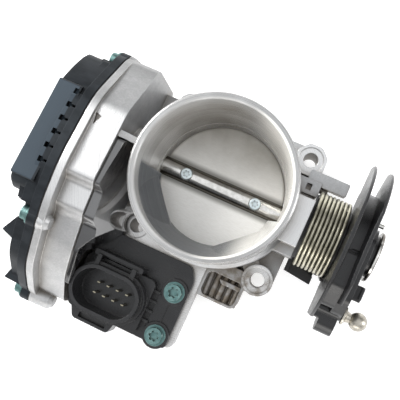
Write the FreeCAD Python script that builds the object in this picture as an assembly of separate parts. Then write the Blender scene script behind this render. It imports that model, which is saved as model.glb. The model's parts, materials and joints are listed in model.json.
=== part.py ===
import FreeCAD, Part
import math
import os
from FreeCAD import Vector

os.makedirs("parts", exist_ok=True)

# Frame: origin on the bore axis at the manifold face. +Z runs up the bore to the air inlet,
# +X runs along the throttle shaft to the cable quadrant. All sizes are in millimetres.

# Bore and spigot
THROAT_R = 29.5
STEP_R = 30.0
INLET_R = 31.5
SPIGOT_R = 34.5
BODY_R = 36.0
NECK_R = 33.4
NECK_Z = 50.0
SPIGOT_Z = 55.0
HEIGHT = 76.0
STEP_Z = 39.0
CALOTTE_LIP_R = 26.2
CALOTTE_LIP_Z = 45.5
CALOTTE_TOP_Z = 68.0
CALOTTE_R = 29.55
RAMP_ANGLES = (-47.9, -140.6)
RAMP_REACH = 24.5
RAMP_LIP_Z = 49.0

# Shaft and plate
SHAFT_Z = 32.0
SHAFT_R = 4.5
PLATE_R = 29.2
PLATE_T = 2.0
PLATE_SCREW_X = 17.1
PLATE_SCREW_R = 1.5
PLATE_SCREW_HEAD_R = 2.75
FLAT_HALF = 3.6
SHAFT_START_X = -70.0
SHAFT_END_X = 75.2
RUN_FIT = 0.06

# Manifold flange
BOLT_X = 31.75
BOLT_Y = 31.25
BOLT_R = 3.5
LUG_R = 7.5
LUG_TOP_Z = 20.0
FLANGE_T = 8.0
CORNER_LUG_R = 8.1
LUG_RIB_HALF_W = 4.0
SEAT_R = 6.1
SEAT_DEPTH = 0.5
SMALL_CORNER = 0.8

# Gear casing and cover
JOINT_X = -62.0
FLOOR_X = -46.0
WALL = 3.0
GASKET_T = 0.8
COVER_FLANGE_T = 4.0
COVER_WALL = 2.5
CASE_CORNER = 7.0
BODY_CORNER = 3.0
RIM_STEP = 1.0
RAISED_END_X = -81.4
LOW_END_X = -73.0
STRIP_Y = (14.5, -31.5)
STRIP_Z = (61.6, 67.2)
SLOT_COUNT = 6
SLOT_PITCH = 6.6
WEDGES = [
    ([(-66.0, -46.0), (-74.6, -48.4), (-78.8, -56.4), (-72.2, -58.6), (-66.0, -59.0)], 46.0, 54.0),
    ([(-66.0, -71.0), (-74.5, -73.3), (-76.3, -78.7), (-69.0, -78.9), (-66.0, -78.5)], 24.0, 34.0),
]
END_RIB_COUNT = 4
END_RIB_PITCH = 15.0
RAISED_CORNER = 5.0
CASTING_NOTCH = [(-58.5, 6.5), (-55.5, 5.5), (-57.5, 1.0)]
CASE_OUTLINE = [
    (38, 4), (38, 44.5), (12, 65), (-18, 70), (-38, 67), (-66, 53),
    (-80, 33), (-80, 8), (-70, -3.5), (-24, -3.5), (-14, 4),
]
BODY_OUTLINE = [
    (37.4, 5.5), (37.4, 46.0), (12, 63.6), (-21.5, 67.6), (-23.5, 63.4), (-35.5, 62), (-38, 58.6),
    (-52, 53.6), (-64, 47), (-77.5, 31), (-77.5, 9.5), (-69, -2), (-25, -2), (-15, 5.5),
]
RAISED_OUTLINE = [
    (33, 8), (33, 45), (24, 53.5), (14, 60.2), (-33, 66), (-37.5, 60), (-37.5, 8),
]
COVER_SCREWS = [(34.6, 41.0), (-45.0, 60.2), (-80.5, 27), (-72, -2), (-12, 2.5), (34.5, 6)]
SCREW_LUG_R = 4.8
SCREW_LUG_L = [4.6, 4.8, 11.0, 11.0, 11.0, 11.0]
COVER_SCREW_R = 1.85
SCREW_DEPTH = 4.0
SCREW_HOLE_R = 2.2
SCREW_HEAD_R = 3.4
SCREW_HEAD_H = 4.2
SCREW_WASHER_R = 4.5
BOARD_X = (-72.7, -71.5)
BOARD_Y = (-8.0, 20.0)
BOARD_Z = (16.0, 45.0)
BOARD_POSTS = [(16, 20), (16, 41)]

# Gear train
GEAR_MODULE = 1.0
SECTOR_TEETH = 54
SMALL_TEETH = 12
BIG_TEETH = 42
PINION_TEETH = 10
BACKLASH = 0.25
AXLE_BOSS_R = 4.5
PRESSURE_ANGLE = 20.0
DEDENDUM = 1.15
ADDENDUM = 0.85
DOUBLE_ANGLE = 190.0
MOTOR_ANGLE = 222.0
AXLE_R = 2.0
SECTOR_HALF_ARC = 31.0
SECTOR_HUB_R = 9.0
WINDOW_R = 3.4
WINDOW_REACH = 17.5
WINDOW_ANGLE = 17.0
SECTOR_X = (-57.0, -51.6)
BIG_GEAR_X = (-63.5, -59.5)
SMALL_GEAR_X = (-60.0, -51.0)
AXLE_END_X = -66.0
DOG_ANGLE = 60.0
DOG_REACH = 13.5
DOG_PIN_R = 1.8
DRIVER_ANGLE = DOG_ANGLE - 20.5
MOTOR_R = 9.2
MOTOR_X = (-49.0, -8.0)
MOTOR_SHAFT_R = 1.25
BARREL_R = 11.1
PINION_END_X = -66.0
CLAMP_R = 7.4
CLAMP_T = 1.0
CLAMP_SCREW_REACH = 13.6
CLAMP_SCREW_R = 1.5

# Fits: radial play of screws, pressed pins and the motor in their holes
PRESS_FIT = 0.02
SCREW_FIT = 0.05
MOTOR_FIT = 0.1

# Spring side
TOWER_START_X = 30.0
TOWER_X = 41.2
TOWER_HALF_Y = 10.8
TOWER_TOP_Z = 50.0
SHOULDER_Y = -15.5
SHOULDER_TOP_Z = 43.0
STOP_BOSS_Y = (14.5, 21.5)
STOP_BOSS_TOP_Z = 30.0
STOP_HOLE_X = (34.8, 37.2)
STOP_HOLE_Y = (16.4, 19.4)
WEB_TOP_Z = 27.0
ARM_X = (34.0, 53.0)
ARM_Y = (19.8, 26.0)
ARM_Z = (24.0, 29.5)
ARM_RIB_Y = (21.5, 24.5)
LEG_POST_R = 1.5
BOSS_END_X = 54.0
BOSS_R = 10.5
NEAR_BOSS_R = 11.5
BEARING_R = 6.5
BEARING_L = 12.0
GUIDE_R = 14.6
SPRING_MEAN_R = 16.9
WIRE_R = 0.8
SPRING_TURNS = 7.5
SPRING_X0 = 43.0
SPRING_PITCH = 1.86
START_LEG_L = 11.0
END_LEG_L = 9.0

# Quadrant
FLANGE_IN_X = (58.3, 60.6)
FLANGE_OUT_X = (65.2, 67.4)
QUADRANT_R = 37.4
DRUM_R = 25.0
RIM_SHARE = 0.55
HUB_R = 14.0
HUB_START_X = 55.6
HUB_END_X = 73.6
HUB_NECK_R = 9.5
DISC_R = 11.7
STOP_Z = 9.4
LOBE_TOP_Z = 39.5
LOBE_OUTLINE = [(-20, 26), (-36, 26), (-40, 31), (-40, 36.5), (-36, LOBE_TOP_Z), (-18, LOBE_TOP_Z)]
CAGE_OUTLINE = [(10, 40), (10, 50), (4, 55), (-22, 55), (-30, 48), (-30, 40)]
BLOCK_OUTLINE = [(-3, 48), (-3, 59), (-18, 59), (-28, 51), (-28, 42), (-12, 42)]
CAGE_END_X = 70.4
STUD_SEAT_X = 71.6
STUD_R = 2.5
BALL_R = 4.1
BALL = (78.6, -28.9, 38.0)
PIN_Y = 13.8
PIN_Z = 34.0
PIN_R = 1.0

# Casting below and beside the connector module
PAD_X = (-46.5, 7.8)
PAD_Y = (-78.0, -33.0)
PAD_LOW_Z = 9.0
TROUGH_X = (2.0, 27.6)
TROUGH_Y = (-49.0, -30.0)
POCKET_X = (9.2, 26.4)
POCKET_Y = (-47.8, -36.0)
POCKET_FLOOR_Z = 12.0
FLUTE_R = 1.9
FLUTE_PITCH = 3.7
FLUTE_COUNT = 5
LOWER_WEB_Y = 34.0
LOWER_WEB_TOP_Z = 16.0
CROSS_RIB_Y = (1.0, 4.0)

# Connector module
CONNECTOR_Z = 20.3
CONNECTOR_PLATE_T = 3.4
CONNECTOR_SCREW_R = 2.35
CONNECTOR_LUG_R = 6.4
CONNECTOR_LUG_H = 1.6
PIN_HALF_W = 0.7
PIN_HALF_T = 0.3
PIN_TOP_Z = 34.0
SOCKET_X = -27.8
SOCKET_Y = -64.7
SOCKET_TOP_Z = 42.0
SOCKET_FLOOR_Z = 27.0
SOCKET_HALF_L = 16.6
SOCKET_HALF_W = 10.8
SOCKET_WALL = 1.7
PIN_PITCH = 4.8
PIN_ROWS = 5.0
CONNECTOR_SCREWS = [(-0.8, -52.3), (-0.8, -74.0)]
LEAD_LOW_Z = 24.5
LEAD_BEND_Z = 46.5
LEAD_FOOT_X = -34.0
LEAD_WALL = 1.4
BOLT_ROOM_R = 5.4
LEAD_OUTLINE = [
    (0.4, LEAD_LOW_Z), (0.4, 62.5), (-21, 65.5), (-24, 61.6), (-36, 60), (-38.6, 56.6), (-52, 51.8),
    (-64, 45.6), (-68, 43.0), (-51.5, 43.0), (-49.5, 36), (-49.5, LEAD_LOW_Z),
]

X_AXIS = Vector(1, 0, 0)
Y_AXIS = Vector(0, 1, 0)
Z_AXIS = Vector(0, 0, 1)


def box(x0, x1, y0, y1, z0, z1):
    return Part.makeBox(x1 - x0, y1 - y0, z1 - z0, Vector(x0, y0, z0))


def cylinder_x(x0, x1, radius, y=0.0, z=SHAFT_Z):
    return Part.makeCylinder(radius, x1 - x0, Vector(x0, y, z), X_AXIS)


def cylinder_z(x, y, radius, z0, z1):
    return Part.makeCylinder(radius, z1 - z0, Vector(x, y, z0), Z_AXIS)


def tube_x(x0, x1, outer, inner, y=0.0, z=SHAFT_Z):
    return cylinder_x(x0, x1, outer, y, z).cut(cylinder_x(x0 - 1, x1 + 1, inner, y, z))


def turned(profile):
    """Solid of revolution about the bore axis from (radius, z) points."""
    points = [Vector(r, 0, z) for r, z in profile]
    points.append(points[0])
    return Part.Face(Part.makePolygon(points)).revolve(Vector(0, 0, 0), Z_AXIS, 360)


def turned_x(profile, y=0.0, z=SHAFT_Z):
    """Solid of revolution about a line along X from (x, radius) points."""
    points = [Vector(x, y, z + r) for x, r in profile]
    points.append(points[0])
    return Part.Face(Part.makePolygon(points)).revolve(Vector(0, y, z), X_AXIS, 360)


def rounded_wire(points, reach):
    """Closed wire through the points. An arc rounds each corner and starts at most reach before it."""
    edges = []
    previous_end = None
    first_start = None
    count = len(points)
    for i in range(count):
        corner = points[i]
        before = points[i - 1] - corner
        after = points[(i + 1) % count] - corner
        setback = min(reach, 0.48 * before.Length, 0.48 * after.Length)
        before.normalize()
        after.normalize()
        half = before.getAngle(after) / 2
        radius = setback * math.tan(half)
        middle_dir = (before + after).normalize()
        centre = corner + middle_dir * (radius / math.sin(half))
        start = corner + before * setback
        end = corner + after * setback
        middle = centre - middle_dir * radius
        if previous_end is not None:
            edges.append(Part.LineSegment(previous_end, start).toShape())
        else:
            first_start = start
        edges.append(Part.Arc(start, middle, end).toShape())
        previous_end = end
    edges.append(Part.LineSegment(previous_end, first_start).toShape())
    return Part.Wire(edges)


def prism_x(outline, x0, x1, reach=0.0, inset=0.0):
    """Prism along X from (y, z) points, with rounded corners, grown or shrunk by an inset."""
    points = [Vector(x0, y, z) for y, z in outline]
    if reach > 0:
        wire = rounded_wire(points, reach)
    else:
        wire = Part.makePolygon(points + [points[0]])
    face = Part.Face(wire)
    if inset:
        face = face.makeOffset2D(-inset)
        if face.ShapeType != "Face":
            face = Part.Face(face)
    return face.extrude(Vector(x1 - x0, 0, 0))


def rectangle(a0, a1, b0, b1):
    """Corner points of a rectangle in any plane."""
    return [(a0, b0), (a1, b0), (a1, b1), (a0, b1)]


def prism_z(outline, z0, z1, reach=0.0):
    """Prism along Z from (x, y) points, with rounded corners."""
    points = [Vector(x, y, z0) for x, y in outline]
    if reach > 0:
        wire = rounded_wire(points, reach)
    else:
        wire = Part.makePolygon(points + [points[0]])
    return Part.Face(wire).extrude(Vector(0, 0, z1 - z0))


def prism_y(outline, y0, y1):
    """Prism along Y from (x, z) points."""
    points = [Vector(x, y0, z) for x, z in outline]
    points.append(points[0])
    return Part.Face(Part.makePolygon(points)).extrude(Vector(0, y1 - y0, 0))


def fuse(shapes):
    result = shapes[0].multiFuse(shapes[1:]) if len(shapes) > 1 else shapes[0]
    return result.removeSplitter()


def cut(shape, tools):
    for tool in tools:
        shape = shape.cut(tool)
    return shape


def save(name, shape):
    shape.exportStep("parts/" + name + ".step")


def polar(radius, degrees):
    """Point in the YZ plane around the shaft axis; 0 degrees is +Y, 90 is +Z."""
    angle = math.radians(degrees)
    return radius * math.cos(angle), SHAFT_Z + radius * math.sin(angle)


# ---------------------------------------------------------------- gears

def involute(angle):
    return math.tan(angle) - angle


def gear_points(teeth, centre, phase, arc=None):
    """Outline of a spur gear in the YZ plane. Phase is the angle of one tooth's middle."""
    pitch = GEAR_MODULE * teeth / 2
    pressure = math.radians(PRESSURE_ANGLE)
    base = pitch * math.cos(pressure)
    root = pitch - DEDENDUM * GEAR_MODULE
    tip = pitch + ADDENDUM * GEAR_MODULE
    half_pitch = math.pi / (2 * teeth) - BACKLASH / (2 * pitch)
    flank = []
    for step in range(5):
        radius = max(base, root) + (tip - max(base, root)) * step / 4
        half = half_pitch + involute(pressure) - involute(math.acos(min(1.0, base / radius)))
        flank.append((radius, half))
    if root < base:
        flank.insert(0, (root, flank[0][1]))
    points = []
    for tooth in range(-(teeth // 2), teeth - teeth // 2):
        middle = phase + 2 * math.pi * tooth / teeth
        if arc is not None:
            away = (middle - arc[0] + math.pi) % (2 * math.pi) - math.pi
            if abs(away) > arc[1]:
                continue
        rising = [(radius, middle - half) for radius, half in flank]
        falling = [(radius, middle + half) for radius, half in reversed(flank)]
        for radius, angle in rising + falling:
            points.append((centre[0] + radius * math.cos(angle), centre[1] + radius * math.sin(angle)))
    return points


def gear_axes():
    """Positions (y, z) of the double gear's and the motor's axes."""
    sector_pitch = GEAR_MODULE * SECTOR_TEETH / 2
    small_pitch = GEAR_MODULE * SMALL_TEETH / 2
    big_pitch = GEAR_MODULE * BIG_TEETH / 2
    pinion_pitch = GEAR_MODULE * PINION_TEETH / 2
    double = polar(sector_pitch + small_pitch, DOUBLE_ANGLE)
    turn = math.radians(MOTOR_ANGLE)
    reach = big_pitch + pinion_pitch
    motor = (double[0] + reach * math.cos(turn), double[1] + reach * math.sin(turn))
    return double, motor


def mesh_phase(teeth, towards):
    """Phase that puts a tooth space, not a tooth, on the line towards the mating gear."""
    return math.radians(towards) + math.pi / teeth


def bar_outline(degrees, start, end, half_width):
    """Four corners (y, z) of a straight arm that points away from the shaft axis."""
    along = math.radians(degrees)
    side_y = -math.sin(along) * half_width
    side_z = math.cos(along) * half_width
    corners = []
    for radius, side in ((start, 1), (end, 1), (end, -1), (start, -1)):
        y, z = polar(radius, degrees)
        corners.append((y + side * side_y, z + side * side_z))
    return corners


def make_sector_gear():
    back, front = SECTOR_X
    phase = math.radians(DOUBLE_ANGLE)
    outline = gear_points(SECTOR_TEETH, (0.0, SHAFT_Z), phase, (phase, math.radians(SECTOR_HALF_ARC)))
    outline.append(polar(SECTOR_HUB_R, DOUBLE_ANGLE + 75))
    outline.append(polar(SECTOR_HUB_R, DOUBLE_ANGLE - 75))
    blade = prism_x(outline, back, front)
    hub = cylinder_x(back, front + 2.0, SECTOR_HUB_R)
    dog_y, dog_z = polar(DOG_REACH, DOG_ANGLE)
    ear = prism_x(bar_outline(DOG_ANGLE, 4.0, DOG_REACH + 2.4, 3.0), back, back + 3.0, 1.5)
    dog = cylinder_x(back - 3.0, back + 1.0, DOG_PIN_R, dog_y, dog_z)
    cuts = [cylinder_x(back - 5, front + 5, SHAFT_R + RUN_FIT)]
    for offset in (-WINDOW_ANGLE, WINDOW_ANGLE):
        window_y, window_z = polar(WINDOW_REACH, DOUBLE_ANGLE + offset)
        cuts.append(cylinder_x(back - 1, front + 1, WINDOW_R, window_y, window_z))
    save("sector_gear", cut(fuse([blade, hub, ear, dog]), cuts))


def make_double_gear(axis):
    y, z = axis
    back, front = BIG_GEAR_X
    small_phase = mesh_phase(SMALL_TEETH, DOUBLE_ANGLE + 180)
    big_phase = math.radians(MOTOR_ANGLE)
    small = prism_x(gear_points(SMALL_TEETH, axis, small_phase), *SMALL_GEAR_X)
    big = prism_x(gear_points(BIG_TEETH, axis, big_phase), back, front)
    hub = cylinder_x(back - 1.0, back + 1, 4.5, y, z)
    recess = tube_x(back - 2, back + 1.2, 17.5, 6.5, y, z)
    bore = cylinder_x(back - 20, front + 20, AXLE_R + RUN_FIT, y, z)
    save("double_gear", cut(fuse([small, big, hub]), [recess, bore]))


def make_gear_axle(axis):
    save("gear_axle", cylinder_x(AXLE_END_X, FLOOR_X - 0.6, AXLE_R, axis[0], axis[1]))


def make_motor(axis):
    y, z = axis
    start, end = MOTOR_X
    can = turned_x([(start, 0), (start, MOTOR_R), (end - 2.0, MOTOR_R), (end, MOTOR_R - 1.5), (end, 0)], y, z)
    tail = cylinder_x(end - 1, end + 2.0, 3.5, y, z)
    hole = cylinder_x(start - 1, end - 4, MOTOR_SHAFT_R + RUN_FIT, y, z)
    save("drive_motor", fuse([can, tail]).cut(hole))


def clamp_screw_places(axis):
    return [(axis[0] + side * CLAMP_SCREW_REACH, axis[1]) for side in (-1, 1)]


def make_motor_clamp(axis):
    y, z = axis
    back = MOTOR_X[0] - 0.05
    front = back - CLAMP_T
    plate = cylinder_x(front, back, CLAMP_R, y, z)
    half_length = CLAMP_SCREW_REACH + 3.0
    bar = prism_x(rectangle(y - half_length, y + half_length, z - 3, z + 3), front, back, 2.0)
    holes = [cylinder_x(front - 1, back + 1, 4.1, y, z)]
    for screw_y, screw_z in clamp_screw_places(axis):
        holes.append(cylinder_x(front - 1, back + 1, CLAMP_SCREW_R + 0.1, screw_y, screw_z))
    save("motor_clamp", cut(fuse([plate, bar]), holes))


def make_clamp_screws(axis):
    seat = MOTOR_X[0] - 0.05 - CLAMP_T - 0.05
    screws = []
    for y, z in clamp_screw_places(axis):
        head = cylinder_x(seat - 1.55, seat, 2.6, y, z)
        shank = cylinder_x(seat, FLOOR_X - 0.6, CLAMP_SCREW_R, y, z)
        slot = box(seat - 2, seat - 0.85, y - 2, y + 2, z - 0.35, z + 0.35)
        screws.append(fuse([head, shank]).cut(slot))
    save("clamp_screws", Part.makeCompound(screws))


def make_motor_pinion(axis):
    phase = mesh_phase(PINION_TEETH, MOTOR_ANGLE + 180)
    gear = prism_x(gear_points(PINION_TEETH, axis, phase), BIG_GEAR_X[0] - 0.4, BIG_GEAR_X[1] + 0.4)
    rotor_shaft = cylinder_x(PINION_END_X, MOTOR_X[1] - 6, MOTOR_SHAFT_R, axis[0], axis[1])
    save("motor_pinion", fuse([gear, rotor_shaft]))


# ---------------------------------------------------------------- housing

def bore_tube():
    return turned([
        (0, 0), (BODY_R, 0), (BODY_R, NECK_Z - 2), (BODY_R - 1.5, NECK_Z), (NECK_R, NECK_Z),
        (NECK_R, SPIGOT_Z - 0.6), (SPIGOT_R, SPIGOT_Z), (SPIGOT_R, HEIGHT - 0.7),
        (SPIGOT_R - 0.7, HEIGHT), (0, HEIGHT),
    ])


def bore_space():
    return turned([
        (0, -1), (THROAT_R + 1.5, -1), (THROAT_R, 1.5), (THROAT_R, STEP_Z), (STEP_R, STEP_Z),
        (INLET_R, HEIGHT - 8), (INLET_R, HEIGHT - 0.6), (INLET_R + 0.6, HEIGHT),
        (INLET_R + 0.6, HEIGHT + 1), (0, HEIGHT + 1),
    ])


def calotte():
    """Crescent on the bore wall that follows the rising half of the plate, with a flat ramp at each end."""
    floor_z = SHAFT_Z + 1.2
    wall_r = NECK_R - 0.5
    ring = turned([
        (CALOTTE_LIP_R - 4, floor_z), (CALOTTE_LIP_R - 4, CALOTTE_LIP_Z - 2.5),
        (CALOTTE_LIP_R, CALOTTE_LIP_Z), (INLET_R + 0.2, CALOTTE_TOP_Z),
        (wall_r, CALOTTE_TOP_Z), (wall_r, floor_z),
    ])
    ramp_section = [
        (RAMP_REACH, floor_z), (RAMP_REACH, RAMP_LIP_Z), (INLET_R, CALOTTE_TOP_Z), (BODY_R, CALOTTE_TOP_Z),
        (BODY_R, floor_z),
    ]
    inside_wall = cylinder_z(0, 0, wall_r, floor_z, CALOTTE_TOP_Z)
    parts = [ring]
    for angle in RAMP_ANGLES:
        ramp = prism_y(ramp_section, -BODY_R, BODY_R)
        ramp.rotate(Vector(0, 0, 0), Z_AXIS, angle)
        parts.append(ramp.common(inside_wall))
    half = box(-BODY_R, BODY_R, -BODY_R, -SHAFT_R - 0.5, 0, HEIGHT)
    sweep = Part.makeSphere(CALOTTE_R, Vector(0, 0, SHAFT_Z))
    return fuse(parts).common(half).cut(sweep)


def bolt_places():
    return [(side_x * BOLT_X, side_y * BOLT_Y) for side_x in (-1, 1) for side_y in (-1, 1)]


def octagon(x, y, reach):
    angles = [math.radians(22.5 + 45 * i) for i in range(8)]
    return [(x + reach * math.cos(angle), y + reach * math.sin(angle)) for angle in angles]


def flange_lugs():
    """Manifold flange with a raised lug at each bolt. The lug at +X +Y is eight-sided."""
    half_x = BOLT_X + LUG_R
    half_y = BOLT_Y + LUG_R
    parts = [prism_z(rectangle(-half_x, half_x, -half_y, half_y), 0, FLANGE_T, LUG_R)]
    for x, y in bolt_places():
        if x > 0 and y > 0:
            parts.append(prism_z(octagon(x, y, CORNER_LUG_R), 0, LUG_TOP_Z, 1.2))
        else:
            parts.append(cylinder_z(x, y, LUG_R, 0, LUG_TOP_Z))
        reach = math.hypot(x, y)
        rib = box(0.7 * reach, reach, -LUG_RIB_HALF_W, LUG_RIB_HALF_W, 0, LUG_TOP_Z - 1.5)
        rib.rotate(Vector(0, 0, 0), Z_AXIS, math.degrees(math.atan2(y, x)))
        parts.append(rib)
    return parts


def tower_parts():
    """Blocks on the quadrant side that carry the shaft, the spring and the stops."""
    tower = box(TOWER_START_X, TOWER_X, -TOWER_HALF_Y, TOWER_HALF_Y, FLANGE_T, TOWER_TOP_Z)
    shoulder = box(TOWER_START_X, TOWER_X, SHOULDER_Y, -TOWER_HALF_Y, FLANGE_T, SHOULDER_TOP_Z)
    stop_boss = prism_z(rectangle(TOWER_START_X, TOWER_X, *STOP_BOSS_Y), FLANGE_T, STOP_BOSS_TOP_Z,
                        SMALL_CORNER)
    leg_post = cylinder_x(TOWER_X - 1, SPRING_X0 + 2, LEG_POST_R, SPRING_MEAN_R + WIRE_R + LEG_POST_R + 0.05,
                          SHAFT_Z - 9)
    web = box(TOWER_START_X, TOWER_X - 0.7, TOWER_HALF_Y, STOP_BOSS_Y[0], FLANGE_T, WEB_TOP_Z)
    arm = prism_z(rectangle(*ARM_X, *ARM_Y), *ARM_Z, SMALL_CORNER)
    arm_rib = prism_y([(38, ARM_Z[0] + 0.5), (51, ARM_Z[0] + 0.5), (38, 12)], *ARM_RIB_Y)
    boss = cylinder_x(TOWER_X - 1, BOSS_END_X, BOSS_R)
    return [tower, shoulder, stop_boss, leg_post, web, arm, arm_rib, boss]


def casing_parts():
    body = prism_x(BODY_OUTLINE, JOINT_X, FLOOR_X, BODY_CORNER)
    rim = prism_x(CASE_OUTLINE, JOINT_X, JOINT_X + 3.2, CASE_CORNER, -RIM_STEP)
    lugs = []
    for (y, z), length in zip(COVER_SCREWS, SCREW_LUG_L):
        end = JOINT_X + length
        profile = [
            (JOINT_X, 0), (JOINT_X, SCREW_LUG_R), (end - 2.0, SCREW_LUG_R - 0.4), (end, SCREW_LUG_R - 2.2),
            (end, 0),
        ]
        lugs.append(turned_x(profile, y, z))
    return [body, rim] + lugs


def web_parts():
    """Casting between the gear casing and the bore, with the near shaft boss."""
    boss = cylinder_x(FLOOR_X - 1, -30, NEAR_BOSS_R)
    lower = box(FLOOR_X - 1, -20, -LOWER_WEB_Y, LOWER_WEB_Y, FLANGE_T - 2, LOWER_WEB_TOP_Z)
    cross_rib = prism_y([(FLOOR_X - 1, 10), (FLOOR_X - 1, 63), (-36, 58), (-33, 48), (-33, 10)], *CROSS_RIB_Y)
    return [boss, lower, cross_rib]


def pad_parts(motor):
    """Casting under the connector module, with the motor barrel and the fluted pocket beside it."""
    pad = prism_z(rectangle(*PAD_X, *PAD_Y), PAD_LOW_Z, CONNECTOR_Z - 0.3, 2.5)
    block = prism_z(rectangle(*TROUGH_X, *TROUGH_Y), 2, LUG_TOP_Z - 1, 3.5)
    hollow = prism_z(rectangle(*POCKET_X, *POCKET_Y), POCKET_FLOOR_Z, LUG_TOP_Z + 1, 2.5)
    flutes = []
    for i in range(FLUTE_COUNT):
        start = Vector(POCKET_X[0] + 1.4 + FLUTE_PITCH * i, POCKET_Y[0] - 0.6, POCKET_FLOOR_Z + 0.4)
        flutes.append(Part.makeCylinder(FLUTE_R, 15, start, Y_AXIS))
    curved_rib = prism_z([(15, -38), (27, -38), (27, -40), (17, -40)], 8, LUG_TOP_Z - 2.5, SMALL_CORNER)
    barrel = cylinder_x(FLOOR_X - 1, MOTOR_X[1] + 5, BARREL_R, motor[0], motor[1])
    return [pad, block.cut(hollow), curved_rib, barrel] + flutes


def housing_cuts(double, motor):
    cuts = [bore_space()]
    for x, y in bolt_places():
        cuts.append(cylinder_z(x, y, BOLT_R, -1, LUG_TOP_Z + 1))
        cuts.append(cylinder_z(x, y, SEAT_R, LUG_TOP_Z - SEAT_DEPTH, LUG_TOP_Z + 12))
    floor = FLOOR_X - WALL - 1
    cuts.append(cylinder_x(JOINT_X, BOSS_END_X + 1, SHAFT_R + 0.1))
    cuts.append(cylinder_x(floor, FLOOR_X + BEARING_L, BEARING_R))
    cuts.append(cylinder_x(BOSS_END_X - BEARING_L - 3, BOSS_END_X + 1, BEARING_R))
    for y, z in COVER_SCREWS:
        cuts.append(cylinder_x(JOINT_X - 1, JOINT_X + SCREW_DEPTH, COVER_SCREW_R + SCREW_FIT, y, z))
    cuts.append(box(*STOP_HOLE_X, *STOP_HOLE_Y, STOP_BOSS_TOP_Z - 4, STOP_BOSS_TOP_Z + 1))
    for x, y in CONNECTOR_SCREWS:
        cuts.append(cylinder_z(x, y, CONNECTOR_SCREW_R + SCREW_FIT, 10.5, CONNECTOR_Z + 1))
    cuts.append(cylinder_x(floor, FLOOR_X - 0.5, AXLE_R + PRESS_FIT, double[0], double[1]))
    cuts.append(cylinder_x(floor, MOTOR_X[1] + 2.3, MOTOR_R + MOTOR_FIT, motor[0], motor[1]))
    for y, z in clamp_screw_places(motor):
        cuts.append(cylinder_x(floor, FLOOR_X - 0.5, CLAMP_SCREW_R + PRESS_FIT, y, z))
    cuts.append(prism_z(CASTING_NOTCH, 62.5, 72))
    return cuts


def around_screws(shape, x0, x1, radius):
    """Takes the screw lugs out of an inner space, so that each lug keeps its wall."""
    return cut(shape, [cylinder_x(x0, x1, radius, y, z) for y, z in COVER_SCREWS])


def casing_pocket():
    pocket = prism_x(BODY_OUTLINE, JOINT_X - 1, FLOOR_X - WALL, BODY_CORNER, WALL)
    return around_screws(pocket, JOINT_X - 2, FLOOR_X, SCREW_LUG_R - 0.6)


def axle_boss(double):
    floor = FLOOR_X - WALL
    return tube_x(floor - 1.5, floor + 1, AXLE_BOSS_R, AXLE_R + PRESS_FIT, double[0], double[1])


def make_housing(double, motor):
    parts = [bore_tube()] + flange_lugs() + tower_parts() + casing_parts() + web_parts() + pad_parts(motor)
    body = fuse(parts).cut(casing_pocket())
    body = fuse([body, axle_boss(double)])
    body = cut(body, housing_cuts(double, motor))
    body = fuse([body, calotte()])
    save("throttle_housing", body)


# ---------------------------------------------------------------- cover and gasket

def make_gasket():
    front = JOINT_X - GASKET_T
    outer = prism_x(CASE_OUTLINE, front, JOINT_X, CASE_CORNER, -0.6)
    inner = prism_x(CASE_OUTLINE, front - 1, JOINT_X + 1, CASE_CORNER, WALL + 1.0)
    inner = around_screws(inner, front - 2, JOINT_X + 2, SCREW_LUG_R - 0.6)
    lugs = []
    holes = []
    for y, z in COVER_SCREWS:
        lugs.append(cylinder_x(front, JOINT_X, SCREW_LUG_R - 0.3, y, z))
        holes.append(cylinder_x(front - 1, JOINT_X + 1, SCREW_HOLE_R, y, z))
    save("cover_gasket", cut(fuse([outer] + lugs), [inner] + holes))


def strip_height(y):
    """Height of the cover's sloping upper strip at a given y."""
    share = (y - STRIP_Y[0]) / (STRIP_Y[1] - STRIP_Y[0])
    return STRIP_Z[0] + share * (STRIP_Z[1] - STRIP_Z[0])


def cover_details(flange_end):
    """Sloping strip, two wedges, two end steps and the ribs on the end face."""
    strip = [(STRIP_Y[0], 55), (STRIP_Y[0], STRIP_Z[0]), (STRIP_Y[1], STRIP_Z[1]), (STRIP_Y[1], 55)]
    parts = [prism_x(strip, RAISED_END_X + 0.4, flange_end - 3.0, 1.0)]
    for outline, low_z, high_z in WEDGES:
        parts.append(prism_z(outline, low_z, high_z, SMALL_CORNER))
    upper_step = [(27, 42), (27, 50.6), (31.5, 47), (31.5, 38)]
    lower_step = [(-35, 40), (-35, 63), (-41, 60), (-41, 40)]
    parts.append(prism_x(upper_step, flange_end - 5, flange_end + 0.5, SMALL_CORNER))
    parts.append(prism_x(lower_step, LOW_END_X - 3.0, LOW_END_X + 1, 1.0))
    for i in range(END_RIB_COUNT):
        y = -26 + END_RIB_PITCH * i
        parts.append(box(RAISED_END_X - 0.8, RAISED_END_X + 1, y - 1, y + 1, 14, 44))
    return parts


def strip_slots(flange_end):
    """Row of small slots along the strip's inner edge."""
    slots = []
    for i in range(SLOT_COUNT):
        y = STRIP_Y[0] - 3.0 - SLOT_PITCH * i
        top = strip_height(y)
        slots.append(box(flange_end - 5.6, flange_end - 3.6, y - 1.2, y + 1.2, top - 2.0, top + 2))
        slots.append(box(flange_end - 3.8, flange_end - 0.8, y - 0.5, y + 0.5, top - 2.4, top + 2))
    return slots


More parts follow.
